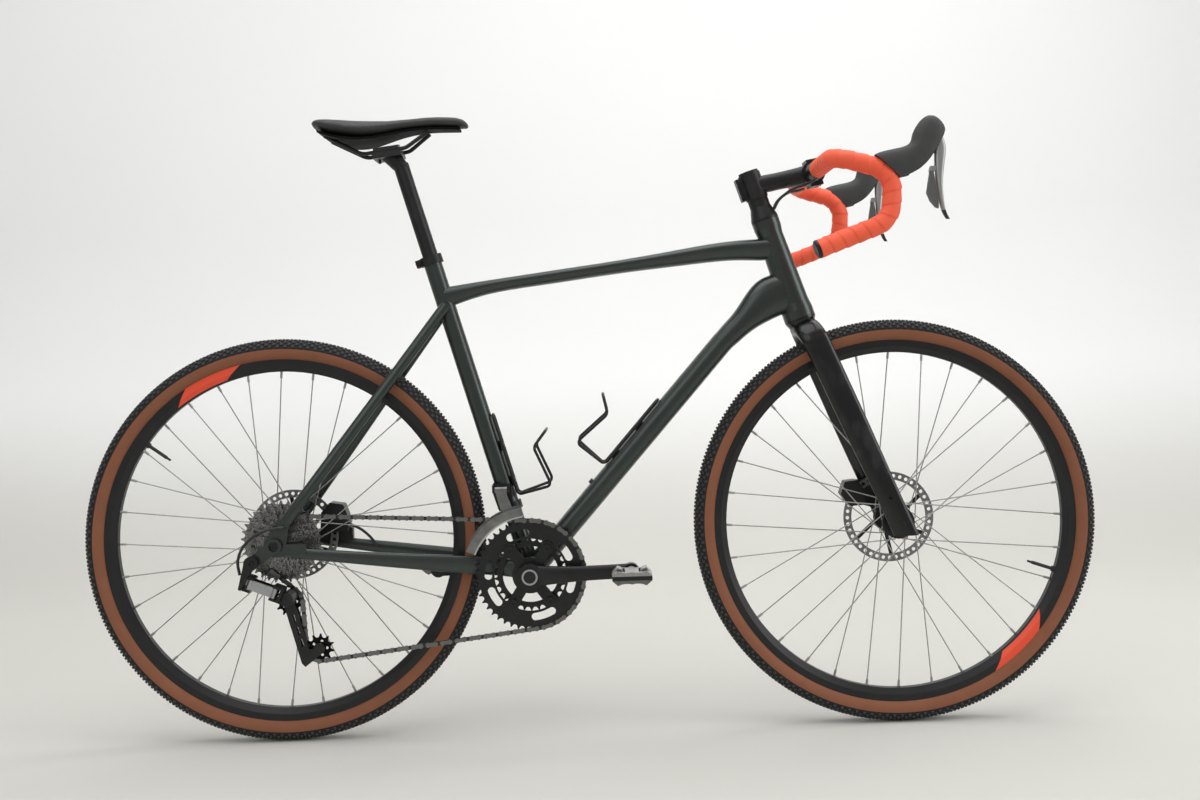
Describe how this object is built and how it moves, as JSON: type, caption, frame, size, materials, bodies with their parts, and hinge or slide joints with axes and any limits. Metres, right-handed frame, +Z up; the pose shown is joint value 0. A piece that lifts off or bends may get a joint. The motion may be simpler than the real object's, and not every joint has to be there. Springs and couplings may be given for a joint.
{
  "type": "gravel bike",
  "caption": "Drop-bar gravel bike with alloy frame, carbon fork, disc brakes, tan-wall knobbly tyres, double crankset with derailleurs, orange bar tape and wire bottle cages.",
  "frame": {"origin": "on the ground straight below the crank axle, in the bike's middle plane", "axes": "+X forward, +Y to the rider's left, +Z up"},
  "size_m": [1.7628, 0.4786, 1.0797],
  "materials": {
    "frame_paint": "dark grey-green satin metallic paint",
    "bare_alloy": "satin silver",
    "black_alloy": "satin black anodised",
    "carbon": "clear-coated carbon",
    "tyre_rubber": "matt tread, tan sidewall",
    "tube_rubber": "matt",
    "steel": "brushed",
    "lever_grey": "satin grey",
    "black_plastic": "moulded",
    "hood_rubber": "textured grip",
    "hose_black": "smooth",
    "orange_tape": "wrapped grip tape",
    "saddle_cover": "fine-grained cover"
  },
  "bodies": {
    "frame": {"head_tube": "frame_paint", "bottom_bracket_shell": "frame_paint", "seat_tube": "frame_paint", "down_tube": "frame_paint", "top_tube": "frame_paint", "chainstays": "frame_paint", "seatstays": "frame_paint", "rear_dropouts": "bare_alloy", "frame_bearings": "steel", "rear_thru_axle": "black_alloy", "seat_clamp": "black_alloy", "chain": "steel", "bottle_cages": "black_alloy", "frame_bolts": "steel", "front_derailleur_mount": "black_alloy", "rear_derailleur_knuckle": "black_alloy", "rear_brake_caliper": "black_alloy", "rear_cables": "hose_black"},
    "front_derailleur": {"front_derailleur_cage": "steel"},
    "outer_link": {"derailleur_outer_link": "bare_alloy"},
    "inner_link": {"derailleur_inner_link": "black_alloy"},
    "cage_knuckle": {"derailleur_cage_knuckle": "black_alloy"},
    "cage": {"derailleur_cage": "black_alloy"},
    "guide_wheel": {"guide_pulley": "black_plastic"},
    "tension_wheel": {"tension_pulley": "black_plastic"},
    "saddle": {"seatpost": "black_alloy", "saddle_rails": "black_alloy", "saddle_shell": "black_plastic", "saddle_pad": "saddle_cover"},
    "steering": {"fork": "carbon", "headset_spacers": "black_alloy", "stem": "black_alloy", "handlebar": "black_alloy", "bar_tape": "orange_tape", "lever_hoods": "hood_rubber", "front_brake_caliper": "black_alloy", "front_thru_axle": "black_alloy", "cockpit_hoses": "hose_black"},
    "right_lever": {"brake_lever_right": "lever_grey"},
    "left_lever": {"brake_lever_left": "lever_grey"},
    "right_paddle": {"shift_paddle_right": "black_plastic"},
    "left_paddle": {"shift_paddle_left": "black_plastic"},
    "front_wheel": {"front_tyre": "tyre_rubber", "front_rim": "black_alloy", "front_inner_tube": "tube_rubber", "front_spokes": "steel", "front_hub": "bare_alloy", "front_rotor": "steel"},
    "rear_wheel": {"rear_tyre": "tyre_rubber", "rear_rim": "black_alloy", "rear_inner_tube": "tube_rubber", "rear_spokes": "steel", "rear_hub": "bare_alloy", "rear_rotor": "steel"},
    "cassette": {"cassette": "steel"},
    "crank": {"right_crank": "black_alloy", "chainrings": "black_alloy", "left_crank": "black_alloy"},
    "right_pedal": {"pedal_right": "steel"},
    "left_pedal": {"pedal_left": "steel"}
  },
  "joints": [
    {"name": "steer", "type": "hinge", "parent": "frame", "child": "steering", "pos_m": [0.4273, 0, 0.8802], "axis": [-0.3049, 0, 0.9524], "range_deg": [-70, 70]},
    {"name": "seat_height", "type": "slide", "parent": "frame", "child": "saddle", "axis": [-0.2773, 0, 0.9608], "range_m": [-0.12, 0.05]},
    {"name": "front_wheel_spin", "type": "hinge", "parent": "steering", "child": "front_wheel", "pos_m": [0.63537, 0, 0.35], "axis": [0, 1, 0], "continuous": true},
    {"name": "rear_wheel_spin", "type": "hinge", "parent": "frame", "child": "rear_wheel", "pos_m": [-0.42763, 0, 0.35], "axis": [0, 1, 0], "continuous": true},
    {"name": "crank_spin", "type": "hinge", "parent": "frame", "child": "crank", "pos_m": [0, 0, 0.282], "axis": [0, 1, 0], "continuous": true, "deforming": ["chain"]},
    {"name": "cassette_spin", "type": "hinge", "parent": "frame", "child": "cassette", "pos_m": [-0.42763, 0, 0.35], "axis": [0, 1, 0], "continuous": true},
    {"name": "right_pedal_spin", "type": "hinge", "parent": "crank", "child": "right_pedal", "pos_m": [0.17239, 0, 0.28802], "axis": [0, 1, 0], "continuous": true},
    {"name": "left_pedal_spin", "type": "hinge", "parent": "crank", "child": "left_pedal", "pos_m": [-0.17239, 0, 0.27598], "axis": [0, 1, 0], "continuous": true},
    {"name": "right_brake", "type": "hinge", "parent": "steering", "child": "right_lever", "pos_m": [0.67139, -0.2114, 0.97807], "axis": [0, 1, 0], "range_deg": [0, 22], "stiffness_Nm_per_rad": 1, "springref_deg": -5.73},
    {"name": "left_brake", "type": "hinge", "parent": "steering", "child": "left_lever", "pos_m": [0.67139, 0.2114, 0.97807], "axis": [0, 1, 0], "range_deg": [0, 22], "stiffness_Nm_per_rad": 1, "springref_deg": -5.73},
    {"name": "right_shift", "type": "hinge", "parent": "right_lever", "child": "right_paddle", "pos_m": [0.66339, -0.2114, 0.92907], "axis": [0, 0, -1], "range_deg": [0, 15], "stiffness_Nm_per_rad": 0.05, "springref_deg": -5.73},
    {"name": "left_shift", "type": "hinge", "parent": "left_lever", "child": "left_paddle", "pos_m": [0.66339, 0.2114, 0.92907], "axis": [0, 0, 1], "range_deg": [0, 15], "stiffness_Nm_per_rad": 0.05, "springref_deg": -5.73},
    {"name": "front_shift", "type": "hinge", "parent": "frame", "child": "front_derailleur", "pos_m": [-0.052, -0.031, 0.428], "axis": [1, 0, 0], "range_deg": [0, 7.5], "stiffness_Nm_per_rad": 0.5, "springref_deg": -5.73},
    {"name": "rear_shift", "type": "hinge", "parent": "frame", "child": "outer_link", "pos_m": [-0.47013, -0.0845, 0.288], "axis": [0.3635, 0, 0.9316], "range_deg": [-28, 18], "stiffness_Nm_per_rad": 2},
    {"name": "inner_link_swing", "type": "hinge", "parent": "frame", "child": "inner_link", "pos_m": [-0.47013, -0.0695, 0.288], "axis": [0.3635, 0, 0.9316], "range_deg": [-28, 18]},
    {"name": "cage_knuckle_swing", "type": "hinge", "parent": "outer_link", "child": "cage_knuckle", "pos_m": [-0.42913, -0.0845, 0.272], "axis": [0.3635, 0, 0.9316], "range_deg": [-18, 28]},
    {"name": "cage_swing", "type": "hinge", "parent": "cage_knuckle", "child": "cage", "pos_m": [-0.41013, -0.07, 0.26], "axis": [0, 1, 0], "range_deg": [-40, 25], "stiffness_Nm_per_rad": 2},
    {"name": "guide_spin", "type": "hinge", "parent": "cage", "child": "guide_wheel", "pos_m": [-0.41413, -0.044, 0.249], "axis": [0, 1, 0], "continuous": true},
    {"name": "tension_spin", "type": "hinge", "parent": "cage", "child": "tension_wheel", "pos_m": [-0.36463, -0.044, 0.168], "axis": [0, 1, 0], "continuous": true}
  ],
  "couplings": [
    {"joint": "cassette_spin", "follows": "crank_spin", "ratio": 2},
    {"joint": "guide_spin", "follows": "crank_spin", "ratio": -4.1818},
    {"joint": "tension_spin", "follows": "crank_spin", "ratio": 4.1818},
    {"joint": "inner_link_swing", "follows": "rear_shift", "ratio": 1},
    {"joint": "cage_knuckle_swing", "follows": "rear_shift", "ratio": -1}
  ]
}
